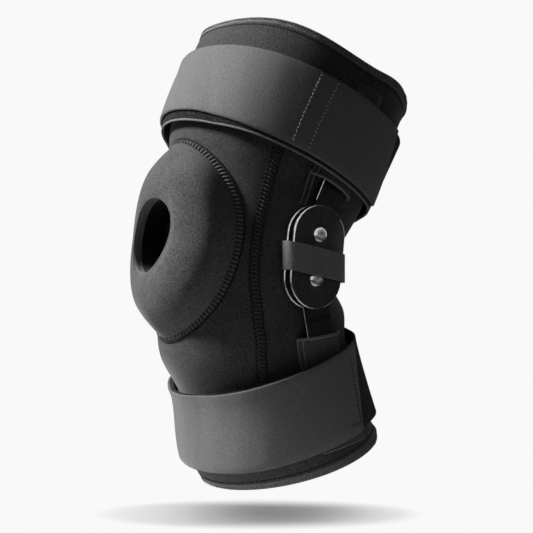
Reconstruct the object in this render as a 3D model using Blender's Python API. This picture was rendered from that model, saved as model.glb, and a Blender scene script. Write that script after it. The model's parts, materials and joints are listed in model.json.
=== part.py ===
"""Hinged knee brace: neoprene sleeve, patella pad, two straps and a geared hinge on each side.

Origin midway between the two hinges. +X is the outer side of the leg, -Y the front, +Z up.
The thigh leans back above the knee and the calf leans back below it, as in a bent leg.
"""
import math
from collections import namedtuple

import bmesh
import bpy
from mathutils import Matrix, Vector

MM = 0.001

# Sleeve sections from calf rim to thigh rim, in millimetres and degrees: the station along the
# leg, the middle of the section, how far it leans, and the half width, front and rear depth
Section = namedtuple("Section", "station back up lean half_width front rear")
SECTIONS = (
    Section(-139, 24, -137, -15, 60, 60, 64),
    Section(-122, 14, -118, -18, 61, 63, 63),
    Section(-77, 2, -73.5, -20, 57, 59, 61),
    Section(-50, -7, -50.5, -14, 57, 64, 68),
    Section(-25, -15, -27, -9, 56.5, 56.5, 63.5),
    Section(0, -18, 0, 2, 57, 53, 62),
    Section(40, -3, 35, 22, 59, 64, 67),
    Section(66, 4, 61, 26, 64.5, 70, 75),
    Section(119, 26.5, 108, 26, 71.5, 75, 76.5),
    Section(139, 38, 128, 22, 72, 76, 75.5),
)

CLEARANCE = 0.3 * MM
SLEEVE_WALL = 4.5 * MM
SLEEVE_SIDES = 40
HEM_WIDTH = 8 * MM
HEM_WALL = 0.9 * MM
THIGH_SEAM = 74 * MM
CALF_SEAM = -70 * MM

# Straps
STRAP_WIDTH = 52 * MM
THIGH_STRAP_MIDDLE = 87 * MM
CALF_STRAP_MIDDLE = -97 * MM
STRAP_WALL = 2.2 * MM
STRAP_LINING_WALL = 2.0 * MM
LINING_DROP = 5 * MM
STRAP_FLARE = 4.5 * MM
STRAP_ROWS = 3
LAYER_GAP = 0.4 * MM
STRAP_LIFT = 7.6 * MM
LIFT_START = 46
LIFT_FULL = 76
LIFT_HOLD = 124
LIFT_END = 154
STRAP_SEWN_SIDES = -17
STRAP_SEAM_SIDES = 8
THIGH_TAB_END_SIDES = 14
CALF_TAB_END_SIDES = 13

# Patella pad
PAD_HALF_WIDTH = 49 * MM
PAD_HALF_HEIGHT = 65 * MM
PAD_HEIGHT_MIDDLE = 12 * MM
HOLE_HALF_WIDTH = 21 * MM
HOLE_HALF_HEIGHT = 24 * MM
HOLE_MIDDLE = 13 * MM
PAD_RISE = 19.5 * MM
PAD_WALL = 2.6 * MM
PAD_SIDES = 30

# Hinge
PLATE_LEAN = 6
BAR_REST_ANGLE = 16
PIVOT_SPACING = 28 * MM
PLATE_LENGTH = 66 * MM
PLATE_WIDTH = 39.5 * MM
PLATE_THICKNESS = 2.0 * MM
PLATE_ROUNDING = 0.5 * MM
HINGE_INNER_FACE = 59.7 * MM
WASHER_THICKNESS = 0.6 * MM
WASHER_RADIUS = 7 * MM
WASHER_GAP = 0.2 * MM
BAR_THICKNESS = 3.0 * MM
BAR_WIDTH = 18 * MM
UPPER_BAR_LENGTH = 100 * MM
LOWER_BAR_LENGTH = 100 * MM
BAR_HEAD_RADIUS = 13 * MM
BAR_HEAD_LENGTH = 24 * MM
GEAR_TEETH = 22
TOOTH_HEIGHT = 0.6 * MM
TOOTH_DEPTH = 1.2 * MM
TOOTH_TIP_SHARE = 0.13
TOOTH_ROOT_SHARE = 0.29
GEAR_START = -28
GEAR_END = 84
RIVET_RADIUS = 2.6 * MM
RIVET_HEAD_RADIUS = 4.5 * MM
RIVET_HEAD_HEIGHT = 2.0 * MM
RIVET_TAIL_RADIUS = 4.0 * MM
RIVET_TAIL_HEIGHT = 0.8 * MM
RIVET_SIDES = 16
LOOP_HEIGHT = 17.6 * MM
LOOP_WALL = 1.4 * MM

# Pockets for the bars
POCKET_HALF_WIDTH = 14.5 * MM
POCKET_WALL = 1.2 * MM
POCKET_FOOT = 3 * MM
POCKET_START = 31 * MM
POCKET_PAST_BAR = 6 * MM
POCKET_ROWS = 5

OUTER, INNER = 1, -1
BAR_PLANE = (HINGE_INNER_FACE + PLATE_THICKNESS + 2 * WASHER_GAP + WASHER_THICKNESS
             + BAR_THICKNESS / 2)
HINGE_OUTER_FACE = 2 * BAR_PLANE - HINGE_INNER_FACE


def start_collections():
    for old in list(bpy.data.objects):
        bpy.data.objects.remove(old, do_unlink=True)
    made = []
    for name in ("knee_brace", "cutters"):
        collection = bpy.data.collections.new(name)
        bpy.context.scene.collection.children.link(collection)
        made.append(collection)
    return made


PARTS, CUTTERS = start_collections()


def material(name, colour, roughness, metallic=0.0):
    made = bpy.data.materials.new(name)
    made.use_nodes = True
    shader = made.node_tree.nodes["Principled BSDF"]
    shader.inputs["Base Color"].default_value = (*colour, 1.0)
    shader.inputs["Roughness"].default_value = roughness
    shader.inputs["Metallic"].default_value = metallic
    made.diffuse_color = (*colour, 1.0)
    return made


NEOPRENE_CLOTH = material("neoprene_cloth", (0.045, 0.046, 0.05), 0.85)
HEM_TAPE = material("hem_tape", (0.03, 0.03, 0.033), 0.8)
WOVEN_ELASTIC = material("woven_elastic", (0.075, 0.076, 0.08), 0.75)
LOOP_PILE = material("loop_pile", (0.05, 0.05, 0.052), 0.95)
PAD_GEL = material("pad_gel", (0.12, 0.12, 0.13), 0.5)
BLACK_METAL = material("black_metal", (0.02, 0.02, 0.022), 0.35, 0.6)
RIVET_STEEL = material("rivet_steel", (0.75, 0.75, 0.76), 0.22, 1.0)
WASHER_NYLON = material("washer_nylon", (0.6, 0.6, 0.58), 0.5)
POCKET_CLOTH = material("pocket_cloth", (0.03, 0.03, 0.032), 0.85)


def joint_frame(name, place):
    frame = bpy.data.objects.new(name, None)
    frame.location = place
    frame.empty_display_size = 10 * MM
    PARTS.objects.link(frame)
    return frame


def add_part(name, mesh, finish, frame):
    mesh.name = name
    mesh.materials.clear()
    mesh.materials.append(finish)
    mesh.shade_smooth()
    mesh.set_sharp_from_angle(angle=math.radians(35))
    part = bpy.data.objects.new(name, mesh)
    PARTS.objects.link(part)
    part.parent = frame
    part.matrix_parent_inverse = Matrix.Translation(frame.location).inverted()
    return part


def mesh_from(shape):
    bmesh.ops.recalc_face_normals(shape, faces=shape.faces)
    mesh = bpy.data.meshes.new("shape")
    shape.to_mesh(mesh)
    shape.free()
    return mesh


def loft(rings, closed):
    """Skin a row of outlines. A closed row joins its last outline to its first."""
    shape = bmesh.new()
    loops = [[shape.verts.new(point) for point in ring] for ring in rings]
    following = loops[1:] + loops[:1] if closed else loops[1:]
    for near, far in zip(loops, following):
        count = len(near)
        for i in range(count):
            k = (i + 1) % count
            shape.faces.new((near[i], near[k], far[k], far[i]))
    bmesh.ops.triangulate(shape, faces=shape.faces, quad_method="SHORT_EDGE")
    if not closed:
        shape.faces.new(loops[0][::-1])
        shape.faces.new(loops[-1])
    return mesh_from(shape)


def on_side(mesh, side):
    """The mesh as built for the outer side, or mirrored for the inner side of the leg."""
    if side == INNER:
        mesh.transform(Matrix.Scale(-1, 4, (1, 0, 0)))
        mesh.flip_normals()
    return mesh


def combine(mesh, other, operation):
    """Cut a mesh with another, or join the two into one body."""
    base = bpy.data.objects.new("base", mesh)
    tool = bpy.data.objects.new("tool", other)
    for made in (base, tool):
        CUTTERS.objects.link(made)
        made.hide_render = True
        made.display_type = "WIRE"
    boolean = base.modifiers.new("combine", "BOOLEAN")
    boolean.operation = operation
    boolean.solver = "EXACT"
    boolean.object = tool
    graph = bpy.context.evaluated_depsgraph_get()
    result = bpy.data.meshes.new_from_object(base.evaluated_get(graph))
    for made in (base, tool):
        bpy.data.objects.remove(made, do_unlink=True)
    return result


def flat_plate(outline, holes, thickness):
    """A flat outline with round-cornered holes, as a mesh lying on its middle plane."""
    curve = bpy.data.curves.new("outline", "CURVE")
    curve.dimensions = "2D"
    curve.fill_mode = "BOTH"
    curve.extrude = thickness / 2
    for points in [outline] + holes:
        spline = curve.splines.new("POLY")
        spline.points.add(len(points) - 1)
        for spot, (u, w) in zip(spline.points, points):
            spot.co = (u, w, 0, 1)
        spline.use_cyclic_u = True
    flat = bpy.data.objects.new("flat", curve)
    CUTTERS.objects.link(flat)
    graph = bpy.context.evaluated_depsgraph_get()
    mesh = bpy.data.meshes.new_from_object(flat.evaluated_get(graph))
    bpy.data.objects.remove(flat, do_unlink=True)
    shape = bmesh.new()
    shape.from_mesh(mesh)
    bmesh.ops.remove_doubles(shape, verts=shape.verts, dist=0.00001)
    return mesh_from(shape)


def circle(middle, radius, count):
    return [(middle[0] + radius * math.cos(2 * math.pi * i / count),
             middle[1] + radius * math.sin(2 * math.pi * i / count)) for i in range(count)]


# The sleeve's outer surface

def sleeve_section(station):
    """The section at a station in metres, on smooth curves through the listed sections."""
    at = station / MM
    last = len(SECTIONS) - 1
    i = max(k for k in range(last) if k == 0 or SECTIONS[k].station <= at)
    lower, upper = SECTIONS[i], SECTIONS[i + 1]
    before, after = SECTIONS[max(i - 1, 0)], SECTIONS[min(i + 2, last)]
    span = upper.station - lower.station
    t = (at - lower.station) / span
    values = []
    for a, b, c, d in zip(before, lower, upper, after):
        rise = span * (c - a) / (upper.station - before.station)
        fall = span * (d - b) / (after.station - lower.station)
        values.append(b * (2 * t**3 - 3 * t**2 + 1) + rise * (t**3 - 2 * t**2 + t)
                      + c * (3 * t**2 - 2 * t**3) + fall * (t**3 - t**2))
    section = Section(*values)
    return Section(station, section.back * MM, section.up * MM, math.radians(section.lean),
                   section.half_width * MM, section.front * MM, section.rear * MM)


def sleeve_point(station, angle, offset=0.0):
    """A point round the leg: angle 0 is the front, a quarter turn the outer side."""
    section = sleeve_section(station)
    depth = section.front if math.cos(angle) > 0 else section.rear
    across = (section.half_width + offset) * math.sin(angle)
    behind = -(depth + offset) * math.cos(angle)
    return Vector((across, section.back + behind * math.cos(section.lean),
                   section.up - behind * math.sin(section.lean)))


def find_station(too_low):
    low, high = SECTIONS[0].station * MM, SECTIONS[-1].station * MM
    for _ in range(40):
        middle = (low + high) / 2
        if too_low(sleeve_section(middle)):
            low = middle
        else:
            high = middle
    return sleeve_section((low + high) / 2)


def front_surface(x, z):
    """How far forward the sleeve's front lies, as Y, at a place seen from the front."""
    def share(section):
        return math.sqrt(max(0.0, 1 - (x / section.half_width) ** 2))
    section = find_station(lambda s: s.up + s.front * share(s) * math.sin(s.lean) < z)
    return section.back - section.front * share(section) * math.cos(section.lean)


def side_surface(y, z):
    """How far out the sleeve's side lies, as X, at a place seen from the side."""
    section = find_station(
        lambda s: (y - s.back) * math.sin(s.lean) + (z - s.up) * math.cos(s.lean) > 0)
    behind = (y - section.back) * math.cos(section.lean) - (z - section.up) * math.sin(section.lean)
    depth = section.rear if behind > 0 else section.front
    return section.half_width * math.sqrt(max(0.0, 1 - (behind / depth) ** 2))


def turn_angles(count):
    return [2 * math.pi * i / count for i in range(count)]


def steps(first, last, count):
    return [first + (last - first) * i / count for i in range(count + 1)]


def sleeve_tube(first, last, count):
    stations = steps(first, last, count)
    rings = []
    for angle in turn_angles(SLEEVE_SIDES):
        outer = [sleeve_point(s, angle) for s in stations]
        inner = [sleeve_point(s, angle, -SLEEVE_WALL) for s in reversed(stations)]
        rings.append(outer + inner)
    return loft(rings, True)


def hem(rim, inward):
    """Binding tape folded over a rim. inward is the way from the rim along the leg."""
    over = CLEARANCE + HEM_WALL
    under = -SLEEVE_WALL - CLEARANCE
    rings = []
    for angle in turn_angles(SLEEVE_SIDES):
        edge = rim + inward * HEM_WIDTH
        fold = rim - inward * CLEARANCE
        top = rim - inward * over
        outline = [(edge, CLEARANCE), (edge, over), (top, over), (top, under - HEM_WALL),
                   (edge, under - HEM_WALL), (edge, under), (fold, under), (fold, CLEARANCE)]
        rings.append([sleeve_point(s, angle, offset) for s, offset in outline])
    return loft(rings, True)


# Straps

def smooth(value, first, last):
    t = min(1.0, max(0.0, (value - first) / (last - first)))
    return t * t * (3 - 2 * t)


def stand_off(angle, share):
    """How far a strap stands off the sleeve: over the pockets, and where it flares at the front."""
    turn = abs(math.degrees(math.remainder(angle, 2 * math.pi)))
    over_pocket = smooth(turn, LIFT_START, LIFT_FULL) - smooth(turn, LIFT_HOLD, LIFT_END)
    flare = max(0.0, math.cos(angle)) * share
    return max(STRAP_LIFT * over_pocket, STRAP_FLARE * flare)


def band(middle, knee_side, depth, wall, angles, closed, shares):
    """A strap round the sleeve at a depth over it. knee_side is the way to the knee."""
    rows = [(middle + knee_side * STRAP_WIDTH * (share - 0.5), share) for share in shares]
    rings = []
    for angle in angles:
        lift = [stand_off(angle, share) + depth + CLEARANCE for _, share in rows]
        outer = [sleeve_point(row[0], angle, rise + wall) for row, rise in zip(rows, lift)]
        inner = [sleeve_point(row[0], angle, rise) for row, rise in zip(rows, lift)]
        rings.append(outer + inner[::-1])
    return loft(rings, closed)


def arc(first_step, last_step):
    """Angles on the sleeve's own facets, so that layers over it stay parallel."""
    return [2 * math.pi * i / SLEEVE_SIDES for i in range(first_step, last_step + 1)]


STRAP_DEPTH = STRAP_LINING_WALL + LAYER_GAP
STRAP_SEAM = 2 * math.pi * STRAP_SEAM_SIDES / SLEEVE_SIDES


def make_straps(name, middle, knee_side, drop, tab_end, frame, tab_frame):
    gap = 1.5 * CLEARANCE / sleeve_section(middle).half_width
    shares = steps(0, 1 - drop / STRAP_WIDTH, STRAP_ROWS)
    lining_shares = shares + [1.0] if drop else shares
    lining = band(middle, knee_side, 0.0, STRAP_LINING_WALL, turn_angles(SLEEVE_SIDES), True, lining_shares)
    add_part(name + "_strap_lining", lining, LOOP_PILE, frame)
    before_seam = arc(STRAP_SEWN_SIDES, STRAP_SEAM_SIDES - 1) + [STRAP_SEAM - gap]
    elastic = band(middle, knee_side, STRAP_DEPTH, STRAP_WALL, before_seam, False, shares)
    add_part(name + "_strap", elastic, WOVEN_ELASTIC, frame)
    past_seam = arc(STRAP_SEAM_SIDES, tab_end)
    tab = band(middle, knee_side, STRAP_DEPTH, STRAP_WALL, past_seam, False, shares)
    add_part(name + "_strap_tab", tab, WOVEN_ELASTIC, tab_frame)


def tab_axis(middle):
    """The outer edge of the seam where a strap's tab folds open."""
    rise = stand_off(STRAP_SEAM, 0.5) + CLEARANCE + STRAP_DEPTH + STRAP_WALL
    return sleeve_point(middle, STRAP_SEAM, rise)


# Patella pad

def pad_point(turn, reach, rise, run_from_seam=0.0):
    """A point of the pad: reach runs from the hole's edge outwards, rise stands off the sleeve."""
    hole = Vector((HOLE_HALF_WIDTH * math.sin(turn), HOLE_MIDDLE + HOLE_HALF_HEIGHT * math.cos(turn)))
    seam = Vector((PAD_HALF_WIDTH * math.sin(turn),
                   PAD_HEIGHT_MIDDLE + PAD_HALF_HEIGHT * math.cos(turn)))
    run = (seam - hole).length
    place = hole + (seam - hole) * (reach * (run - run_from_seam) / run)
    return Vector((place.x, front_surface(place.x, place.y) - rise, place.y))


def pad_cover():
    rings = []
    for turn in turn_angles(PAD_SIDES):
        run = (pad_point(turn, 1, 0) - pad_point(turn, 0, 0)).length
        wall = PAD_WALL / run
        outer = [(0, CLEARANCE), (0, 0.74 * PAD_RISE), (0.06, 0.93 * PAD_RISE), (0.3, PAD_RISE),
                 (0.55, 0.93 * PAD_RISE), (0.77, 0.69 * PAD_RISE), (0.92, 0.35 * PAD_RISE),
                 (1, PAD_WALL), (1, CLEARANCE)]
        inner = [(1 - 1.5 * wall, CLEARANCE), (0.9 - wall, 0.35 * PAD_RISE - PAD_WALL),
                 (0.75 - 0.4 * wall, 0.69 * PAD_RISE - PAD_WALL), (0.55, 0.93 * PAD_RISE - PAD_WALL),
                 (0.3, PAD_RISE - PAD_WALL), (0.04 + wall, 0.9 * PAD_RISE - PAD_WALL),
                 (wall, 0.7 * PAD_RISE - PAD_WALL), (wall, CLEARANCE)]
        rings.append([pad_point(turn, reach, rise) for reach, rise in outer + inner])
    return loft(rings, True)


def pad_ring():
    """The soft ring inside the pad cover, which keeps the kneecap in place."""
    rings = []
    low = 2 * CLEARANCE
    for turn in turn_angles(PAD_SIDES):
        run = (pad_point(turn, 1, 0) - pad_point(turn, 0, 0)).length
        wall = (PAD_WALL + 2 * CLEARANCE) / run
        under = PAD_WALL + 2 * CLEARANCE
        outline = [(wall, low), (wall, 0.68 * PAD_RISE - under), (0.04 + wall, 0.88 * PAD_RISE - under),
                   (0.3, PAD_RISE - under), (0.55, 0.93 * PAD_RISE - under),
                   (0.73 - 0.4 * wall, 0.69 * PAD_RISE - under),
                   (0.87 - wall, 0.35 * PAD_RISE - under), (0.87 - wall, low),
                   (0.65, low), (0.42, low), (0.22, low)]
        rings.append([pad_point(turn, reach, rise) for reach, rise in outline])
    return loft(rings, True)


def hole_cutter():
    """An upright oval bar that cuts the kneecap opening through the sleeve's front wall."""
    bpy.ops.mesh.primitive_cylinder_add(vertices=PAD_SIDES, radius=1, depth=1)
    made = bpy.context.object
    mesh = made.data.copy()
    bpy.data.objects.remove(made, do_unlink=True)
    front = -front_surface(0, HOLE_MIDDLE)
    size = Matrix.Diagonal((HOLE_HALF_WIDTH + CLEARANCE, HOLE_HALF_HEIGHT + CLEARANCE, front, 1))
    mesh.transform(size)
    mesh.transform(Matrix.Rotation(math.radians(90), 4, "X"))
    mesh.transform(Matrix.Translation((0, -front, HOLE_MIDDLE)))
    return mesh


# Hinge

HALF_SPACING = PIVOT_SPACING / 2
PLATE_AXIS = Vector((0, math.sin(math.radians(PLATE_LEAN)), math.cos(math.radians(PLATE_LEAN))))
UPPER_PIVOT = PLATE_AXIS * HALF_SPACING
LOWER_PIVOT = -UPPER_PIVOT
PLATE_TURN = Matrix.Rotation(-math.radians(PLATE_LEAN), 4, "X")


def to_side(depth, lean_turn=PLATE_TURN):
    """From a plan drawn with u up and w back to the hinge's side plane at a depth in X."""
    plan = Matrix(((0, 0, 1, depth), (0, 1, 0, 0), (1, 0, 0, 0), (0, 0, 0, 1)))
    return lean_turn @ plan


def plate_outline(length, width):
    radius = width / 2
    reach = length / 2 - radius
    points = []
    for i in range(15):
        angle = math.pi * i / 14
        points.append((reach + radius * math.sin(angle), radius * math.cos(angle)))
    return points + [(-u, -w) for u, w in points]


def hinge_plate(inner_face):
    hole = RIVET_RADIUS + CLEARANCE
    holes = [circle((HALF_SPACING, 0), hole, RIVET_SIDES), circle((-HALF_SPACING, 0), hole, RIVET_SIDES)]
    mesh = flat_plate(plate_outline(PLATE_LENGTH, PLATE_WIDTH), holes, PLATE_THICKNESS)
    mesh.transform(to_side(inner_face + PLATE_THICKNESS / 2))
    shape = bmesh.new()
    shape.from_mesh(mesh)
    rim = [edge for edge in shape.edges
           if edge.is_manifold and edge.calc_face_angle() > math.radians(60)
           and all(max(abs((v.co - UPPER_PIVOT).yz.length - hole) > hole / 2
                       and abs((v.co - LOWER_PIVOT).yz.length - hole) > hole / 2, 0)
                   for v in edge.verts)]
    bmesh.ops.bevel(shape, geom=rim, offset=PLATE_ROUNDING, segments=1, affect="EDGES")
    return mesh_from(shape)


def turned(profile, sides):
    """A profile of radius and height, turned about its own axis into a closed solid."""
    rings = [[(radius * math.cos(a), radius * math.sin(a), height) for a in turn_angles(sides)]
             for radius, height in profile]
    return loft(rings, False)


def rivet():
    outer = HINGE_OUTER_FACE + CLEARANCE
    inner = HINGE_INNER_FACE - CLEARANCE
    dome = [(RIVET_HEAD_RADIUS * math.cos(math.radians(a)),
             outer + RIVET_HEAD_HEIGHT * (0.25 + 0.75 * math.sin(math.radians(a)))) for a in (0, 25, 50, 75)]
    profile = [(RIVET_TAIL_RADIUS, inner - RIVET_TAIL_HEIGHT), (RIVET_TAIL_RADIUS, inner),
               (RIVET_RADIUS, inner), (RIVET_RADIUS, outer), (RIVET_HEAD_RADIUS, outer)] + dome
    return turned(profile, RIVET_SIDES)


def washer(inner_face):
    holes = [circle((0, 0), RIVET_RADIUS + CLEARANCE, RIVET_SIDES)]
    mesh = flat_plate(circle((0, 0), WASHER_RADIUS, RIVET_SIDES), holes, WASHER_THICKNESS)
    mesh.transform(Matrix.Translation((0, 0, inner_face + WASHER_THICKNESS / 2)))
    return mesh


def along_pivot(mesh, pivot):
    """Stand a piece that was turned about Z on a pivot, with its top to the outer side."""
    mesh.transform(Matrix.Translation(pivot) @ Matrix.Rotation(math.radians(90), 4, "Y"))
    return mesh


def hinge_loop():
    """The elastic band that holds the hinge to the sleeve, round the middle of both plates."""
    room = CLEARANCE
    half_width = PLATE_WIDTH / 2 + room
    inner = HINGE_INNER_FACE - room
    outer = HINGE_OUTER_FACE + room
    corner = PLATE_ROUNDING

    def outline(grow):
        points = []
        corners = ((half_width, outer, 0), (-half_width, outer, 90), (-half_width, inner, 180),
                   (half_width, inner, 270))
        for w, x, start in corners:
            w_side, x_side = math.copysign(1, w), 1 if x == outer else -1
            for a in (0, 45, 90):
                turn = math.radians(start + a)
                points.append((x - x_side * corner + (corner + grow) * math.sin(turn),
                               w - w_side * corner + (corner + grow) * math.cos(turn)))
        return points

    rings = []
    for near, far in zip(outline(0.0), outline(LOOP_WALL)):
        half = LOOP_HEIGHT / 2
        rings.append([(near[0], near[1], half), (far[0], far[1], half),
                      (far[0], far[1], -half), (near[0], near[1], -half)])
    mesh = loft(rings, True)
    mesh.transform(PLATE_TURN)
    return mesh


# Bars, each with a toothed head that rolls on the other bar's head

Bar = namedtuple("Bar", "name pivot along across hand length tooth_shift")


def bar(name, pivot, lean, hand, length, tooth_shift):
    turn = math.radians(lean)
    along = Vector((0, math.sin(turn), math.cos(turn)))
    across = Vector((0, math.cos(turn), -math.sin(turn)))
    return Bar(name, pivot, along, across, hand, length, tooth_shift)


UPPER_BAR = bar("upper", UPPER_PIVOT, PLATE_LEAN + BAR_REST_ANGLE, 1, UPPER_BAR_LENGTH, 0.0)
LOWER_BAR = bar("lower", LOWER_PIVOT, 180 + PLATE_LEAN - BAR_REST_ANGLE, -1, LOWER_BAR_LENGTH, 0.5)


def gear_head(the_bar):
    pitch = 360 / GEAR_TEETH
    tip = HALF_SPACING + TOOTH_HEIGHT
    root = HALF_SPACING - TOOTH_DEPTH
    half = BAR_WIDTH / 2

    def spot(angle, radius):
        turn = math.radians(angle)
        return (-radius * math.cos(turn), the_bar.hand * radius * math.sin(turn))

    points = []
    first = math.ceil((GEAR_START - BAR_REST_ANGLE) / pitch - the_bar.tooth_shift)
    last = math.floor((GEAR_END - BAR_REST_ANGLE) / pitch - the_bar.tooth_shift)
    for k in range(first, last + 1):
        middle = BAR_REST_ANGLE + (k + the_bar.tooth_shift) * pitch
        points += [spot(middle - TOOTH_ROOT_SHARE * pitch, root), spot(middle - TOOTH_TIP_SHARE * pitch, tip),
                   spot(middle + TOOTH_TIP_SHARE * pitch, tip), spot(middle + TOOTH_ROOT_SHARE * pitch, root)]
    rounded = [spot(angle, BAR_HEAD_RADIUS) for angle in (105, 120, 135)]
    returning = [spot(angle, BAR_HEAD_RADIUS) for angle in (225, 245, 265, 285, 305)]
    blade = [(BAR_HEAD_LENGTH, the_bar.hand * half), (BAR_HEAD_LENGTH, -the_bar.hand * half)]
    hole = circle((0, 0), RIVET_RADIUS + CLEARANCE, RIVET_SIDES)
    mesh = flat_plate(points + rounded + blade + returning, [hole], BAR_THICKNESS)
    place = Matrix((
        (0, 0, 1, BAR_PLANE),
        (the_bar.along.y, the_bar.across.y, 0, the_bar.pivot.y),
        (the_bar.along.z, the_bar.across.z, 0, the_bar.pivot.z),
        (0, 0, 0, 1)))
    mesh.transform(place)
    if place.determinant() < 0:
        mesh.flip_normals()
    return mesh


def bar_spot(the_bar, u, w):
    return the_bar.pivot + the_bar.along * u + the_bar.across * w


def bar_lie(the_bar, u):
    """Middle depth and twist of a bar at a distance from its pivot, so that it lies on the sleeve."""
    half = BAR_WIDTH / 2
    under = {}
    for w in (-half, 0, half):
        spot = bar_spot(the_bar, u, w)
        under[w] = side_surface(spot.y, spot.z)
    settled = smooth(u, BAR_HEAD_LENGTH, 2 * BAR_HEAD_LENGTH)
    twist = (under[half] - under[-half]) / BAR_WIDTH * settled
    resting = max(under[w] - twist * w for w in under) + 2 * CLEARANCE + BAR_THICKNESS / 2
    return max(resting, BAR_PLANE + (resting - BAR_PLANE) * settled), twist


def pocket_rows(the_bar):
    return steps(POCKET_START, the_bar.length - BAR_WIDTH / 2, POCKET_ROWS)


def bar_solid(the_bar):
    half = BAR_WIDTH / 2
    round_end = [(the_bar.length - half + half * math.sin(math.radians(a)),
                  half * math.cos(math.radians(a))) for a in (30, 55, 75)]
    in_head = BAR_HEAD_LENGTH - BAR_THICKNESS
    rows = [(u, half) for u in [in_head] + pocket_rows(the_bar)] + round_end
    rings = []
    for u, reach in rows:
        middle, twist = bar_lie(the_bar, u)
        ring = []
        for w, depth in ((-reach, -1), (reach, -1), (reach, 1), (-reach, 1)):
            spot = bar_spot(the_bar, u, w)
            ring.append((middle + twist * w + depth * BAR_THICKNESS / 2, spot.y, spot.z))
        rings.append(ring)
    return combine(gear_head(the_bar), loft(rings, False), "UNION")


def pocket(the_bar):
    """The cloth channel sewn on the sleeve that a bar slides into."""
    half = BAR_WIDTH / 2 + 2 * CLEARANCE
    rows = pocket_rows(the_bar) + [the_bar.length + POCKET_PAST_BAR]
    foot = POCKET_HALF_WIDTH
    rings = []
    for u in rows:
        middle, twist = bar_lie(the_bar, u)
        roof = middle + BAR_THICKNESS / 2 + CLEARANCE

        def at(w, depth):
            spot = bar_spot(the_bar, u, w)
            return (depth, spot.y, spot.z)

        def on_sleeve(w, rise):
            spot = bar_spot(the_bar, u, w)
            return (side_surface(spot.y, spot.z) + rise, spot.y, spot.z)

        top = half + POCKET_WALL / 2
        rings.append([
            on_sleeve(-foot, CLEARANCE), on_sleeve(-foot, CLEARANCE + POCKET_WALL),
            at(-top, roof - twist * top + POCKET_WALL), at(top, roof + twist * top + POCKET_WALL),
            on_sleeve(foot, CLEARANCE + POCKET_WALL), on_sleeve(foot, CLEARANCE),
            on_sleeve(foot - POCKET_FOOT, CLEARANCE), at(half, roof + twist * half),
            at(-half, roof - twist * half), on_sleeve(POCKET_FOOT - foot, CLEARANCE)])
    return loft(rings, False)


def make_hinge(name, side, thigh, knee, calf):
    inner_plate = hinge_plate(HINGE_INNER_FACE)
    outer_plate = hinge_plate(HINGE_OUTER_FACE - PLATE_THICKNESS)
    add_part(name + "_inner_plate", on_side(inner_plate, side), BLACK_METAL, knee)
    add_part(name + "_outer_plate", on_side(outer_plate, side), BLACK_METAL, knee)
    add_part(name + "_hinge_loop", on_side(hinge_loop(), side), WOVEN_ELASTIC, knee)
    inner_washer = HINGE_INNER_FACE + PLATE_THICKNESS + WASHER_GAP
    outer_washer = HINGE_OUTER_FACE - PLATE_THICKNESS - WASHER_GAP - WASHER_THICKNESS
    for the_bar, frame in ((UPPER_BAR, thigh), (LOWER_BAR, calf)):
        which = name + "_" + the_bar.name
        add_part(which + "_rivet", on_side(along_pivot(rivet(), the_bar.pivot), side), RIVET_STEEL, knee)
        for place, face in (("inner", inner_washer), ("outer", outer_washer)):
            mesh = on_side(along_pivot(washer(face), the_bar.pivot), side)
            add_part(which + "_" + place + "_washer", mesh, WASHER_NYLON, knee)
        add_part(which + "_bar", on_side(bar_solid(the_bar), side), BLACK_METAL, frame)
        add_part(which + "_pocket", on_side(pocket(the_bar), side), POCKET_CLOTH, frame)


def make_sleeve(thigh, knee, calf):
    calf_rim, thigh_rim = SECTIONS[0].station * MM, SECTIONS[-1].station * MM
    half_gap = CLEARANCE / 2
    add_part("thigh_sleeve", sleeve_tube(THIGH_SEAM + half_gap, thigh_rim, 5), NEOPRENE_CLOTH, thigh)
    knee_tube = sleeve_tube(CALF_SEAM + half_gap, THIGH_SEAM - half_gap, 18)
    add_part("knee_sleeve", combine(knee_tube, hole_cutter(), "DIFFERENCE"), NEOPRENE_CLOTH, knee)
    add_part("calf_sleeve", sleeve_tube(calf_rim, CALF_SEAM - half_gap, 5), NEOPRENE_CLOTH, calf)
    add_part("thigh_hem", hem(thigh_rim, -1), HEM_TAPE, thigh)
    add_part("calf_hem", hem(calf_rim, 1), HEM_TAPE, calf)
    add_part("patella_cover", pad_cover(), NEOPRENE_CLOTH, knee)
    add_part("patella_ring", pad_ring(), PAD_GEL, knee)


def main():
    thigh = joint_frame("thigh_frame", (0, 0, 0))
    knee = joint_frame("knee_axis", UPPER_PIVOT)
    calf = joint_frame("calf_axis", LOWER_PIVOT)
    thigh_tab = joint_frame("thigh_tab_axis", tab_axis(THIGH_STRAP_MIDDLE))
    calf_tab = joint_frame("calf_tab_axis", tab_axis(CALF_STRAP_MIDDLE))
    make_sleeve(thigh, knee, calf)
    make_straps("thigh", THIGH_STRAP_MIDDLE, -1, LINING_DROP, THIGH_TAB_END_SIDES, thigh, thigh_tab)
    make_straps("calf", CALF_STRAP_MIDDLE, 1, 0.0, CALF_TAB_END_SIDES, calf, calf_tab)
    make_hinge("lateral", OUTER, thigh, knee, calf)
    make_hinge("medial", INNER, thigh, knee, calf)


main()
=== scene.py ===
"""Hinged knee brace, dressed: sewn neoprene, woven straps, a padded kneecap ring and steel hinges.

Row frame in metres: +X is the outer side of the leg, -Y the front, +Z up. Sizes are in millimetres.
"""

import json
import math
from collections import namedtuple

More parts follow.
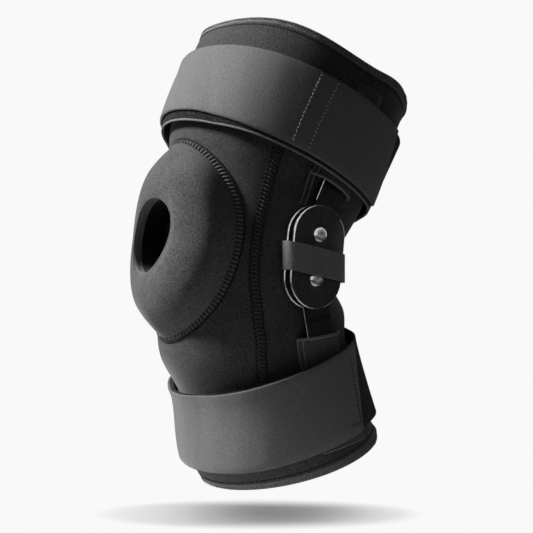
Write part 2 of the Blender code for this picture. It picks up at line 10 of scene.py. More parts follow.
import bpy
import numpy as np
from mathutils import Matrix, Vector


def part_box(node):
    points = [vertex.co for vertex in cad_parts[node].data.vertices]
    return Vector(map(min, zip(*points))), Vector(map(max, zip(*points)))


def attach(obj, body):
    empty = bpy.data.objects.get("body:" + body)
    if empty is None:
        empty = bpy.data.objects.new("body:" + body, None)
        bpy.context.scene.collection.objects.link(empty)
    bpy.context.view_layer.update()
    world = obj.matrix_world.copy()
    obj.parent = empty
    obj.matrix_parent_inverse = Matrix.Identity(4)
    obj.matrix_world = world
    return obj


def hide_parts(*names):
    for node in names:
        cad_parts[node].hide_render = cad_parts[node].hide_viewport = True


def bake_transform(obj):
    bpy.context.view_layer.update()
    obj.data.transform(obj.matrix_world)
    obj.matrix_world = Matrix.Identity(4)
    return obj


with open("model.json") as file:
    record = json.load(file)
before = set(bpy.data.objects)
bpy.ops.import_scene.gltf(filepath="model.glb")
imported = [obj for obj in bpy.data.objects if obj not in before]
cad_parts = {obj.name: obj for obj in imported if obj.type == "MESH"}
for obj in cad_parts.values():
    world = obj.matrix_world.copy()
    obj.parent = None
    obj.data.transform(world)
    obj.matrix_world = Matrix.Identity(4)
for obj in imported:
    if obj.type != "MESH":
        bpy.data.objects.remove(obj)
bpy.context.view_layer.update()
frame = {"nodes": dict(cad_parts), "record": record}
MM = 0.001

# The sleeve's sections, as the solids have them: station along the leg, middle, lean and reach
Section = namedtuple("Section", "station back up lean half_width front rear")
SECTIONS = (
    Section(-139, 24, -137, -15, 60, 60, 64),
    Section(-122, 14, -118, -18, 61, 63, 63),
    Section(-77, 2, -73.5, -20, 57, 59, 61),
    Section(-50, -7, -50.5, -14, 57, 64, 68),
    Section(-25, -15, -27, -9, 56.5, 56.5, 63.5),
    Section(0, -18, 0, 2, 57, 53, 62),
    Section(40, -3, 35, 22, 59, 64, 67),
    Section(66, 4, 61, 26, 64.5, 70, 75),
    Section(119, 26.5, 108, 26, 71.5, 75, 76.5),
    Section(139, 38, 128, 22, 72, 76, 75.5),
)
CALF_RIM, THIGH_RIM = SECTIONS[0].station * MM, SECTIONS[-1].station * MM
SLEEVE_WALL = 4.5 * MM
HEM_WIDTH = 4.6 * MM
RIM_WAVE, RIM_WAVE_LENGTH, RIM_DIP = 2.9 * MM, 95, -5
RIM_WAVE_START = 114 * MM

STRAP_WIDTH = 52 * MM
THIGH_STRAP = 87 * MM
CALF_STRAP = -97 * MM
STRAP_WALL = 2.2 * MM
LINING_WALL = 2.0 * MM
LINING_DROP = 5 * MM
LAYER_GAP = 0.4 * MM
STRAP_FLARE = 4.5 * MM
CALF_FLARE = 1.5 * MM
STRAP_LIFT = 7.6 * MM
LIFT_START, LIFT_FULL, LIFT_HOLD, LIFT_END = 2, 56, 124, 160
MEDIAL_LIFT_START, MEDIAL_LIFT_FULL = 8, 90
CLEARANCE = 0.3 * MM
STRAP_SEWN_END = -153
TAB_JOIN = 60

PAD_HALF_WIDTH = 47.6 * MM
PAD_HALF_HEIGHT = 63 * MM
PAD_MIDDLE = 11 * MM
HOLE_HALF_WIDTH = 21 * MM
HOLE_HALF_HEIGHT = 24 * MM
HOLE_MIDDLE = 13 * MM
HOLE_SHIFT = 2.5 * MM
HOLE_TILT = 0.2
HOLE_ROOM = 1.5 * MM
PAD_RISE = 18.0 * MM

PLATE_LEAN = 6
BAR_REST_ANGLE = 16
PLATE_WIDTH = 39.5 * MM
HINGE_INNER = 59.7 * MM
HINGE_OUTER = 68.7 * MM
RIVET_HEAD = 5.1 * MM
RIVET_RISE = 2.2 * MM
RIVET_DIMPLE = 0.22
LOOP_SLOPE = 0.2
LOOP_HEIGHT = 18 * MM
LOOP_WALL = 1.5 * MM
LOOP_SQUARE = 0.64
LOOP_SLACK = (1.8, 1.9)
LOOP_DROP = 3.2 * MM

SIDES = (("lateral", 1), ("medial", -1))


# Materials

def new_material(name, colour, roughness, metallic=0.0, sheen=0.0):
    made = bpy.data.materials.new(name)
    made.use_nodes = True
    shader = made.node_tree.nodes["Principled BSDF"]
    shader.inputs["Base Color"].default_value = (*colour, 1)
    shader.inputs["Roughness"].default_value = roughness
    shader.inputs["Metallic"].default_value = metallic
    shader.inputs["Specular IOR Level"].default_value = 0.5 if metallic else 0.1
    shader.inputs["Sheen Weight"].default_value = sheen
    shader.inputs["Sheen Roughness"].default_value = 0.45
    return made


class Wiring:
    """Short calls that add and join nodes in one material, or in the world."""

    def __init__(self, made):
        self.tree = made.node_tree
        self.shader = self.tree.nodes.get("Principled BSDF")

    def node(self, kind, **values):
        made = self.tree.nodes.new(kind)
        for key, value in values.items():
            if hasattr(made, key):
                setattr(made, key, value)
            else:
                made.inputs[key.replace("_", " ")].default_value = value
        return made

    def join(self, out, socket):
        self.tree.links.new(out, socket)

    def where(self, kind="Object"):
        return self.node("ShaderNodeTexCoord").outputs[kind]

    def noise(self, place, scale, detail=3.0, rough=0.55):
        made = self.node("ShaderNodeTexNoise", Scale=scale, Detail=detail, Roughness=rough)
        self.join(place, made.inputs["Vector"])
        return made.outputs["Fac"]

    def maths(self, operation, a, b=None, c=None):
        made = self.node("ShaderNodeMath", operation=operation)
        for socket, value in zip(made.inputs, (a, b, c)):
            if isinstance(value, (int, float)):
                socket.default_value = value
            elif value is not None:
                self.join(value, socket)
        return made.outputs[0]

    def length(self, vector):
        made = self.node("ShaderNodeVectorMath", operation="LENGTH")
        self.join(vector, made.inputs[0])
        return made.outputs["Value"]

    def eased(self, value, low, high, start, end):
        """A smooth step from start, at low, to end, at high."""
        made = self.node("ShaderNodeMapRange", interpolation_type="SMOOTHSTEP",
                         From_Min=low, From_Max=high, To_Min=start, To_Max=end)
        self.join(value, made.inputs["Value"])
        return made.outputs[0]

    def shades(self, factor, dark, light, low=0.0, high=1.0):
        ramp = self.node("ShaderNodeValToRGB")
        ramp.color_ramp.elements[0].color = (*dark, 1)
        ramp.color_ramp.elements[1].color = (*light, 1)
        ramp.color_ramp.elements[0].position = low
        ramp.color_ramp.elements[1].position = high
        self.join(factor, ramp.inputs["Fac"])
        return ramp.outputs["Color"]

    def bump(self, height, strength, distance, under=None):
        made = self.node("ShaderNodeBump", Strength=strength, Distance=distance)
        self.join(height, made.inputs["Height"])
        if under is not None:
            self.join(under, made.inputs["Normal"])
        return made.outputs["Normal"]

    def finish(self, colour=None, normal=None, roughness=None):
        for out, socket in ((colour, "Base Color"), (normal, "Normal"), (roughness, "Roughness")):
            if out is not None:
                self.join(out, self.shader.inputs[socket])


def grey(value, tint=0.0):
    return (value, value * (1 + 0.2 * tint), value * (1 + tint))


def neoprene_cloth(name, dark, light):
    made = new_material(name, light, 0.8, sheen=0.35)
    w = Wiring(made)
    place = w.where()
    grain = w.noise(place, 1050, 3, 0.6)
    cloud = w.noise(place, 60, 2)
    tone = w.maths("ADD", w.maths("MULTIPLY", grain, 0.85), w.maths("MULTIPLY", cloud, 0.15))
    colour = w.shades(tone, dark, light, 0.26, 0.74)
    w.finish(colour, w.bump(grain, 0.5, 0.5 * MM))
    return made


def twill(name, dark, light, pitch, sheen, ribs):
    """Woven elastic: diagonal ribs crossed by fine threads, laid out on the band's own UV map."""
    made = new_material(name, light, 0.62, sheen=sheen)
    w = Wiring(made)
    cut = w.node("ShaderNodeSeparateXYZ")
    w.join(w.where("UV"), cut.inputs[0])
    along, across = cut.outputs[0], cut.outputs[1]
    turn = 2 * math.pi / pitch
    diagonal = w.maths("SINE", w.maths("MULTIPLY", w.maths("ADD", along, across), turn))
    speckle = w.noise(w.where(), 900, 3)
    weave = w.maths("ADD", w.maths("MULTIPLY", diagonal, ribs), 0.5)
    height = w.maths("ADD", weave, w.maths("MULTIPLY", w.maths("SUBTRACT", speckle, 0.5), 1.2))
    w.finish(w.shades(height, dark, light, 0.1, 0.9), w.bump(height, 0.5, 0.35 * MM))
    return made


def loop_pile():
    made = new_material("loop_pile", grey(0.06), 0.95, sheen=0.2)
    w = Wiring(made)
    fuzz = w.noise(w.where(), 1100, 6, 0.75)
    w.finish(w.shades(fuzz, grey(0.004), grey(0.12), 0.44, 0.72), w.bump(fuzz, 1.0, 1.2 * MM))
    return made


def ribbed_tape(name, dark, light):
    made = new_material(name, light, 0.75, sheen=0.25)
    w = Wiring(made)
    grain = w.noise(w.where(), 1300, 3, 0.65)
    w.finish(w.shades(grain, dark, light, 0.3, 0.7), w.bump(grain, 0.6, 0.4 * MM))
    return made


def satin_black(name, value):
    made = new_material(name, grey(value), 0.42, 0.35)
    w = Wiring(made)
    marks = w.noise(w.where(), 240, 5, 0.6)
    colour = w.shades(marks, grey(value * 0.65), grey(value * 1.5), 0.3, 0.75)
    w.finish(colour, w.bump(marks, 0.12, 0.15 * MM), w.maths("ADD", w.maths("MULTIPLY", marks, 0.22), 0.3))
    return made


def bare_steel(name, value, roughness, dent):
    made = new_material(name, grey(value), roughness, 1.0)
    w = Wiring(made)
    marks = w.noise(w.where(), 420, 3, 0.55)
    w.finish(w.shades(marks, grey(value * 0.7), grey(value), 0.35, 0.65), w.bump(marks, dent, 0.5 * MM),
             w.maths("ADD", w.maths("MULTIPLY", marks, 0.2), roughness - 0.1))
    return made


def plain_nylon():
    made = new_material("washer_nylon", grey(0.6), 0.5)
    w = Wiring(made)
    cloud = w.noise(w.where(), 200)
    w.finish(w.shades(cloud, grey(0.5), grey(0.64)))
    return made


NEOPRENE = neoprene_cloth("neoprene_cloth", grey(0.008, 0.03), grey(0.154, 0.03))
# The pad's cloth: a lighter copy of the neoprene, lightened as painted light on the padded dome.
PAD_CLOTH_PAINTED_LIGHT = neoprene_cloth("pad_cloth_painted_light", grey(0.014, 0.03), grey(0.23, 0.03))
ELASTIC = twill("woven_elastic", grey(0.13, 0.02), grey(0.27, 0.02), 1.7 * MM, 0.3, 0.13)
HINGE_WEB = twill("hinge_webbing", grey(0.14, 0.02), grey(0.42, 0.02), 1.7 * MM, 0.3, 0.22)
PILE = loop_pile()
# Near black: partly the lining's own dark colour, darkened further as painted shade inside the sleeve and
# down the kneecap hole.
LINING_PAINTED_SHADE = ribbed_tape("lining_painted_shade", grey(0.0015), grey(0.003))
CUT_EDGE = ribbed_tape("lining_cut_edge", grey(0.18), grey(0.4))
PALE_THREAD = ribbed_tape("strap_thread", grey(0.5), grey(0.8))
# A lighter strip on the kneecap hole's wall: painted light where the wall lies in shade.
LIP_PAINTED_LIGHT = ribbed_tape("pad_lip_painted_light", grey(0.15), grey(0.32))
SEAM_THREAD = ribbed_tape("side_seam_thread", grey(0.04), grey(0.12))
HEM = ribbed_tape("hem_tape", grey(0.1), grey(0.38))
POCKET = ribbed_tape("pocket_cloth", grey(0.07), grey(0.16))
PIPING = ribbed_tape("pocket_mouth_tape", grey(0.16), grey(0.34))
THREAD = ribbed_tape("seam_thread", grey(0.1), grey(0.24))
# Near-black grains and cords: dark thread in some stitches, painted shade in needle holes and in the pad's
# groove.
DARK_THREAD_AND_HOLE_SHADE = ribbed_tape("dark_thread_and_hole_shade", grey(0.006), grey(0.014))
BLACK_STEEL = satin_black("satin_black_steel", 0.038)
BAR_STEEL = satin_black("bar_black_steel", 0.01)
EDGE_STEEL = bare_steel("plate_edge_steel", 0.9, 0.28, 0.1)
RIVET_STEEL = bare_steel("rivet_steel", 0.95, 0.2, 0.35)
NYLON = plain_nylon()


# The sleeve's surface

def smooth(value, start, end):
    t = np.clip((value - start) / (end - start), 0, 1)
    return t * t * (3 - 2 * t)


def section_tables():
    """The sections on smooth curves through the listed ones, every half millimetre."""
    rows = np.array(SECTIONS, float)
    place = rows[:, 0]
    slope = np.gradient(rows, place, axis=0, edge_order=1)
    slope[1:-1] = (rows[2:] - rows[:-2]) / (place[2:] - place[:-2])[:, None]
    at = np.arange(place[0] - 6, place[-1] + 6.01, 0.5)
    i = np.clip(np.searchsorted(place, at) - 1, 0, len(place) - 2)
    span = place[i + 1] - place[i]
    t = ((at - place[i]) / span)[:, None]
    span = span[:, None]
    table = (rows[i] * (2 * t**3 - 3 * t**2 + 1) + span * slope[i] * (t**3 - 2 * t**2 + t)
             + rows[i + 1] * (3 * t**2 - 2 * t**3) + span * slope[i + 1] * (t**3 - t**2))
    table[:, 3] = np.radians(table[:, 3]) / MM
    return at * MM, table * MM


TABLE_AT, TABLE = section_tables()


def sections(station):
    return Section(station, *(np.interp(station, TABLE_AT, TABLE[:, k]) for k in range(1, 7)))


def rim_wave(station, angle):
    """How far the thigh rim dips at the front and rises beside it, fading out below the rim."""
    turn = np.degrees(angle)
    wave = -np.cos(2 * math.pi * (turn - RIM_DIP) / RIM_WAVE_LENGTH)
    ends = smooth(turn, -60, -15) * (1 - smooth(turn, 95, 130))
    return RIM_WAVE * wave * ends * smooth(station, RIM_WAVE_START, THIGH_RIM)


def sleeve_points(station, angle, offset=0.0):
    station = np.asarray(station, float)
    s = sections(station + rim_wave(station, angle))
    depth = np.where(np.cos(angle) > 0, s.front, s.rear)
    behind = -(depth + offset) * np.cos(angle)
    return np.stack([(s.half_width + offset) * np.sin(angle),
                     s.back + behind * np.cos(s.lean), s.up - behind * np.sin(s.lean)], -1)


def bisect_station(too_low, shape):
    low = np.full(shape, CALF_RIM)
    high = np.full(shape, THIGH_RIM)
    for _ in range(34):
        middle = (low + high) / 2
        under = too_low(sections(middle))
        low = np.where(under, middle, low)
        high = np.where(under, high, middle)
    return sections((low + high) / 2)


def front_y(x, z):
    def share(s):
        return np.sqrt(np.clip(1 - (x / s.half_width) ** 2, 0, None))
    s = bisect_station(lambda s: s.up + s.front * share(s) * np.sin(s.lean) < z, np.shape(x))
    return s.back - s.front * share(s) * np.cos(s.lean)


def side_x(y, z):
    def above(s):
        return (y - s.back) * np.sin(s.lean) + (z - s.up) * np.cos(s.lean) > 0
    s = bisect_station(above, np.shape(y))
    behind = (y - s.back) * np.cos(s.lean) - (z - s.up) * np.sin(s.lean)
    depth = np.where(behind > 0, s.rear, s.front)
    return s.half_width * np.sqrt(np.clip(1 - (behind / depth) ** 2, 0, None))


# Making pieces

def deselect():
    if bpy.context.mode != "OBJECT":
        bpy.ops.object.mode_set(mode="OBJECT")
    bpy.ops.object.select_all(action="DESELECT")


def pick(piece):
    deselect()
    piece.select_set(True)
    bpy.context.view_layer.objects.active = piece


def cloth(name, across, along, place, size, closed=False):
    """A grid of cloth whose points are moved to place(u, v). Its UV map is in metres of cloth."""
    deselect()
    bpy.ops.mesh.primitive_grid_add(x_subdivisions=across, y_subdivisions=along, size=1)
    piece = bpy.context.object
    piece.name = piece.data.name = name
    mesh = piece.data
    flat = np.empty(len(mesh.vertices) * 3)
    mesh.vertices.foreach_get("co", flat)
    uv = flat.reshape(-1, 3)[:, :2] + 0.5
    mesh.vertices.foreach_set("co", np.asarray(place(uv[:, 0], uv[:, 1]), float).ravel())
    layer = mesh.uv_layers.active.data
    spots = np.empty(len(layer) * 2)
    layer.foreach_get("uv", spots)
    layer.foreach_set("uv", (spots.reshape(-1, 2) * size).ravel())
    if closed:
        pick(piece)
        bpy.ops.object.mode_set(mode="EDIT")
        bpy.ops.mesh.select_all(action="SELECT")
        bpy.ops.mesh.remove_doubles(threshold=0.01 * MM)
        bpy.ops.object.mode_set(mode="OBJECT")
    return piece


def apply_modifier(piece, kind, **values):
    pick(piece)
    made = piece.modifiers.new(kind.lower(), kind)
    for key, value in values.items():
        setattr(made, key, value)
    bpy.ops.object.modifier_apply(modifier=made.name)


def thicken(piece, wall, rounding=0.0, segments=2, offset=-1):
    apply_modifier(piece, "SOLIDIFY", thickness=wall, offset=offset, use_even_offset=False)
    if rounding:
        apply_modifier(piece, "BEVEL", width=rounding, segments=segments, limit_method="ANGLE",
                       angle_limit=math.radians(50))


def dress(piece, finish):
    shares = [face.material_index for face in piece.data.polygons]
    piece.data.materials.clear()
    for each in finish if isinstance(finish, (list, tuple)) else [finish]:
        piece.data.materials.append(each)
    piece.data.polygons.foreach_set("material_index", shares)
    pick(piece)
    bpy.ops.object.shade_smooth_by_angle(angle=math.radians(40))
    return piece


# How cloth crosses the knee: each piece is cut into an upper half and a lower half
KNEE_MIDDLE = Vector((0, SECTIONS[5].back * MM, 0))
KNEE_NORMAL = Vector((0, math.sin(math.radians(2)), math.cos(math.radians(2))))


def bend_with_knee(piece, upper):
    if upper:
        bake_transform(piece)
    else:
        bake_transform(piece)


def keep_half(piece, upper):
    """Cut a piece at the middle of the knee and keep its upper or lower half."""
    pick(piece)
    bpy.ops.object.mode_set(mode="EDIT")
    bpy.ops.mesh.select_all(action="SELECT")
    bpy.ops.mesh.bisect(plane_co=KNEE_MIDDLE, plane_no=KNEE_NORMAL, clear_inner=upper,
                        clear_outer=not upper)
    bpy.ops.object.mode_set(mode="OBJECT")


HALVES = (("upper", True), ("lower", False))


def copy_of(piece, name):
    made = bpy.data.objects.new(name, piece.data.copy())
    bpy.context.scene.collection.objects.link(made)
    made.data.name = name
    return made


def split_at_knee(piece, name):
    """Two pieces from one, cut at the knee."""
    made = []
    for end, upper in HALVES:
        half = copy_of(piece, f"{name}_{end}")
        keep_half(half, upper)
        bend_with_knee(half, upper)
        made.append(half)
    bpy.data.objects.remove(piece, do_unlink=True)
    return made


# Sleeve

def make_sleeve():
    top, bottom = THIGH_RIM, CALF_RIM

    def place(u, v):
        return sleeve_points(bottom + (top - bottom) * v, math.pi * (2 * u - 1))

    piece = cloth("sleeve", 144, 150, place, (0.4, top - bottom), closed=True)
    piece.data.materials.append(NEOPRENE)
    # The sleeve's inside faces take the near-black lining: painted shade inside the sleeve.
    piece.data.materials.append(LINING_PAINTED_SHADE)
    apply_modifier(piece, "SOLIDIFY", thickness=SLEEVE_WALL, offset=-1, material_offset=1)
    deselect()
    bpy.ops.mesh.primitive_cylinder_add(vertices=72, radius=1, depth=0.16)
    cutter = bpy.context.object
    for point in cutter.data.vertices:
        x, z, y = point.co
        z *= HOLE_HALF_HEIGHT + HOLE_ROOM
        x *= HOLE_HALF_WIDTH + HOLE_ROOM
        point.co = (HOLE_SHIFT + x + HOLE_TILT * z, -0.1 - y, HOLE_MIDDLE + z)
    apply_modifier(piece, "BOOLEAN", operation="DIFFERENCE", object=cutter)
    bpy.data.objects.remove(cutter, do_unlink=True)
    # Faces on the kneecap hole's wall take it too: painted shade in the hole.
    for face in piece.data.polygons:
        near = face.center - Vector((HOLE_SHIFT, face.center.y, HOLE_MIDDLE))
        if face.center.y < 0 and near.length < 1.3 * HOLE_HALF_HEIGHT and abs(face.normal.y) < 0.3:
            face.material_index = 1
    dress(piece, (NEOPRENE, LINING_PAINTED_SHADE))
    upper, lower = split_at_knee(piece, "sleeve")
    for half, nodes in ((upper, ("thigh_sleeve", "knee_sleeve")), (lower, ("calf_sleeve",))):
        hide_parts(*nodes)


make_sleeve()


# Threads: small grains, each one stitch, joined in one mesh

def stitches(name, middle, way, out, half_length, radius, arch=0.0):
    """One mesh of thread grains: each lies at its middle along its way, with out pointing off the cloth."""
    deselect()
    bpy.ops.mesh.primitive_uv_sphere_add(segments=6, ring_count=4, radius=1)
    grain = bpy.context.object
    count = len(grain.data.vertices)
    flat = np.empty(count * 3)
    grain.data.vertices.foreach_get("co", flat)
    shape = flat.reshape(-1, 3)
    faces = [tuple(face.vertices) for face in grain.data.polygons]
    bpy.data.objects.remove(grain, do_unlink=True)
    way = way / np.linalg.norm(way, axis=1, keepdims=True)
    side = np.cross(out, way)
    side = side / np.linalg.norm(side, axis=1, keepdims=True)
    out = np.cross(way, side)
    along = shape[:, 2][None, :, None]
    spots = (middle[:, None] + way[:, None] * along * half_length
             + side[:, None] * (shape[:, 0] * radius)[None, :, None]
             + out[:, None] * ((shape[:, 1] * radius)[None, :, None] + arch * (1 - along ** 2)))
    mesh = bpy.data.meshes.new(name)
    joined = [tuple(k * count + i for i in face) for k in range(len(middle)) for face in faces]
    mesh.from_pydata(spots.reshape(-1, 3).tolist(), [], joined)
    piece = bpy.data.objects.new(name, mesh)
    bpy.context.scene.collection.objects.link(piece)
    return piece


def frames_along(line, away_from):
    """Unit directions along a line of points, and off the leg's middle."""
    way = np.gradient(line, axis=0)
    way = way / np.linalg.norm(way, axis=1, keepdims=True)
    out = line - away_from
    out = out - way * np.sum(out * way, axis=1, keepdims=True)
    return way, out / np.linalg.norm(out, axis=1, keepdims=True)


def evenly(line, pitch, start=0.5):
    """Points every pitch along a line of points."""
    steps = np.linalg.norm(np.diff(line, axis=0), axis=1)
    run = np.concatenate([[0], np.cumsum(steps)])
    at = np.arange(start * pitch, run[-1], pitch)
    return np.stack([np.interp(at, run, line[:, k]) for k in range(3)], -1)


def leg_middle(line):
    """The middle of the leg beside each point."""
    s = sections(np.interp(line[:, 2], TABLE[:, 2], TABLE_AT))
    return np.stack([np.zeros(len(line)), s.back, s.up], -1)


def tube(name, line, radius, sides=8, closed=False):
    """A cord of cloth along a line of points."""
    data = bpy.data.curves.new(name, "CURVE")
    data.dimensions = "3D"
    data.bevel_depth = radius
    data.bevel_resolution = max(0, sides // 2 - 2)
    data.use_fill_caps = not closed
    spline = data.splines.new("POLY")
    spline.points.add(len(line) - 1)
    spline.points.foreach_set("co", np.hstack([line, np.ones((len(line), 1))]).ravel())
    spline.use_cyclic_u = closed
    piece = bpy.data.objects.new(name, data)
    bpy.context.scene.collection.objects.link(piece)
    pick(piece)
    bpy.ops.object.convert(target="MESH")
    return bpy.context.object


def over_knee(piece, finish, name):
    """Dress a piece that crosses the knee and split it into an upper and a lower half."""
    dress(piece, finish)
    halves = split_at_knee(piece, name)
    return halves


# Patella pad

PAD_PROFILE = ((0.0, 0.03), (0.0, 0.35), (0.0, 0.7), (0.0, 0.93), (0.02, 0.985), (0.07, 1.0), (0.24, 1.0),
               (0.41, 0.95), (0.56, 0.85), (0.7, 0.68), (0.83, 0.46), (0.93, 0.25), (1.0, 0.1))
PAD_SWELL, PAD_ROLL, PAD_EDGE = 0.64, 0.86, 0.68
PAD_BULGE = 9 * MM
PAD_FULLER = 0.12
PAD_OUTER_SIDE, PAD_LIP = (0.2, 0.9), (0.07, 0.2)
PAD_UV = (0.3, 0.06)
PAD_WALL = 2 * MM
# Heights on the hole's wall: painted shade below the first, a strip of painted light below the second.
SHADE_BELOW, LIT_LIP_BELOW = 0.6, 0.93
SEAM_HALF_WIDTH = 2.6 * MM
SEAM_RISE = 1.0 * MM
SEAM_PITCH = 2.7 * MM
PAD_STITCH = (2.9 * MM, 0.75 * MM, 0.9 * MM)
GROOVE_ACROSS, GROOVE_RADIUS = 1.12, 0.7 * MM


def through(points, at):
    """A smooth curve through a few points, read at shares of its way."""
    rows = np.array(points, float)
    run = np.concatenate([[0], np.cumsum(np.linalg.norm(np.diff(rows, axis=0), axis=1))])
    run = run / run[-1]
    slope = np.gradient(rows, run, axis=0)
    i = np.clip(np.searchsorted(run, at) - 1, 0, len(run) - 2)
    span = (run[i + 1] - run[i])[:, None]
    t = (np.asarray(at) - run[i])[:, None] / span
    return (rows[i] * (2 * t**3 - 3 * t**2 + 1) + span * slope[i] * (t**3 - 2 * t**2 + t)
            + rows[i + 1] * (3 * t**2 - 2 * t**3) + span * slope[i + 1] * (t**3 - t**2))


def pad_oval(turn, beyond=0.0):
    """The pad's seam seen from the front, or a line a little beyond it."""
    x, z = PAD_HALF_WIDTH * np.sin(turn), PAD_HALF_HEIGHT * np.cos(turn)
    out = np.stack([np.sin(turn) / PAD_HALF_WIDTH, np.cos(turn) / PAD_HALF_HEIGHT], -1)
    out = out / np.linalg.norm(out, axis=-1, keepdims=True)
    return x + beyond * out[..., 0], PAD_MIDDLE + z + beyond * out[..., 1]


def pad_points(turn, reach, rise):
    seam_x, seam_z = pad_oval(turn)
    hole_z = HOLE_HALF_HEIGHT * np.cos(turn)
    hole_x = HOLE_SHIFT + HOLE_HALF_WIDTH * np.sin(turn) + HOLE_TILT * hole_z
    x = hole_x + (seam_x - hole_x) * reach
    z = HOLE_MIDDLE + hole_z + (seam_z - HOLE_MIDDLE - hole_z) * reach
    return np.stack([x, front_y(x, z) - rise, z], -1)


def on_front(x, z):
    return np.stack([x, front_y(x, z), z], -1)


def seam_points(turn, across):
    """Points on the sewn ridge round the pad; across runs from -1, inside, to 1, outside."""
    middle = on_front(*pad_oval(turn))
    outward = on_front(*pad_oval(turn, 0.5 * MM)) - on_front(*pad_oval(turn, -0.5 * MM))
    outward = outward / np.linalg.norm(outward, axis=-1, keepdims=True)
    around = on_front(*pad_oval(turn + 0.01)) - on_front(*pad_oval(turn - 0.01))
    off = np.cross(around, outward)
    off = off / np.linalg.norm(off, axis=-1, keepdims=True)
    rise = 0.3 * MM + SEAM_RISE * np.clip(1 - across ** 2, 0, None) ** 0.7
    return middle + outward * (across * SEAM_HALF_WIDTH)[..., None] + off * rise[..., None]


def make_pad():
    def place(u, v):
        line = through(PAD_PROFILE, v)
        turn = 2 * math.pi * u
        reach = np.clip(line[:, 0], 0, 1)
        outer = 1 + PAD_SWELL * reach - PAD_ROLL * reach ** 2 - PAD_EDGE * reach ** 12
        share = smooth(np.sin(turn), *PAD_OUTER_SIDE) * smooth(reach, *PAD_LIP)
        rise = line[:, 1] + share * (outer - line[:, 1])
        fuller = 1 + PAD_FULLER * np.abs(np.cos(turn)) * np.sin(math.pi * reach)
        spot = pad_points(turn, line[:, 0], rise * fuller * PAD_RISE + CLEARANCE)
        spot[:, 0] += share * PAD_BULGE * reach ** 2 * (1 - reach ** 8)
        return spot

    piece = cloth("pad", 132, 72, place, PAD_UV, closed=True)
    finishes = (PAD_CLOTH_PAINTED_LIGHT, LINING_PAINTED_SHADE, LIP_PAINTED_LIGHT)
    for each in finishes:
        piece.data.materials.append(each)
    layer = piece.data.uv_layers.active.data
    for face in piece.data.polygons:
        at = layer[face.loop_indices[0]].uv.y / PAD_UV[1]
        reach, rise = through(PAD_PROFILE, np.array([at]))[0]
        # On the hole's wall: near-black painted shade deep down, a lighter strip of painted light higher up,
        # the pad cloth at the top.
        if reach < 0.06:
            face.material_index = 1 if rise < SHADE_BELOW else 2 if rise < LIT_LIP_BELOW else 0
    thicken(piece, PAD_WALL)
    halves = over_knee(piece, finishes, "patella_pad")
    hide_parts("patella_cover", "patella_ring")

    ridge = cloth("pad_seam", 180, 10, lambda u, v: seam_points(2 * math.pi * u, 2 * v - 1),
                  (0.36, 2 * SEAM_HALF_WIDTH), closed=True)
    over_knee(ridge, NEOPRENE, "pad_seam")

    turns = np.linspace(0, 2 * math.pi, 721)
    middle = evenly(seam_points(turns, 0 * turns), SEAM_PITCH)
    turns = np.arctan2(middle[:, 0] / PAD_HALF_WIDTH, (middle[:, 2] - PAD_MIDDLE) / PAD_HALF_HEIGHT)
    inner = seam_points(turns, 0 * turns - 0.9)
    outer = seam_points(turns + 0.02, 0 * turns + 0.9)
    out = middle - leg_middle(middle)
    threads = stitches("pad_threads", (inner + outer) / 2, outer - inner, out, *PAD_STITCH)
    over_knee(threads, THREAD, "pad_threads")
    # A dark cord just outside the seam's ridge: painted shade in the groove there.
    groove = seam_points(np.linspace(0, 2 * math.pi, 240, endpoint=False), np.full(240, GROOVE_ACROSS))
    line = tube("pad_groove_shade", groove, GROOVE_RADIUS, closed=True)
    over_knee(line, DARK_THREAD_AND_HOLE_SHADE, "pad_groove_shade")


make_pad()


# Side seams: two rows of needle holes, drawn as dark grains of painted shade, with slanting threads between

SIDE_SEAM = ((62, 66), (44, 65), (22, 66), (0, 68.5), (-26, 68), (-47, 67), (-72, 59))
SIDE_SEAM_HALF = 3.1 * MM
SIDE_SEAM_PITCH = 2.6 * MM
SIDE_SEAM_SLANT = 1.4 * MM
SIDE_HOLE = (1.1 * MM, 0.8 * MM)
SIDE_STITCH = (2.5 * MM, 0.7 * MM, 0.3 * MM)


def make_side_seams():
    stations, angles = np.array(SIDE_SEAM[::-1], float).T
    at = np.linspace(stations[0], stations[-1], 400)
    for side, hand in SIDES:
        line = sleeve_points(at * MM, hand * np.radians(np.interp(at, stations, angles)), 0.15 * MM)
        line = evenly(line, SIDE_SEAM_PITCH)
        way, out = frames_along(line, leg_middle(line))
        across = np.cross(out, way)
        holes = np.concatenate([line + across * SIDE_SEAM_HALF, line - across * SIDE_SEAM_HALF])
        double = np.concatenate([way, way])
        marks = stitches(side + "_seam_holes", holes, double, np.concatenate([out, out]), *SIDE_HOLE)
        over_knee(marks, DARK_THREAD_AND_HOLE_SHADE, side + "_seam_holes")
        slant = across * 2 * SIDE_SEAM_HALF + way * SIDE_SEAM_SLANT
        thread = stitches(side + "_seam_threads", line, slant, out, *SIDE_STITCH)
        over_knee(thread, SEAM_THREAD, side + "_seam_threads")


make_side_seams()


# Hems

OVERLOCK_PITCH, OVERLOCK_STITCH = 2.1 * MM, (2.0 * MM, 0.42 * MM)
NEEDLE_PITCH, NEEDLE_STITCH, NEEDLE_BEYOND = 2.4 * MM, (0.85 * MM, 0.5 * MM), 0.9 * MM


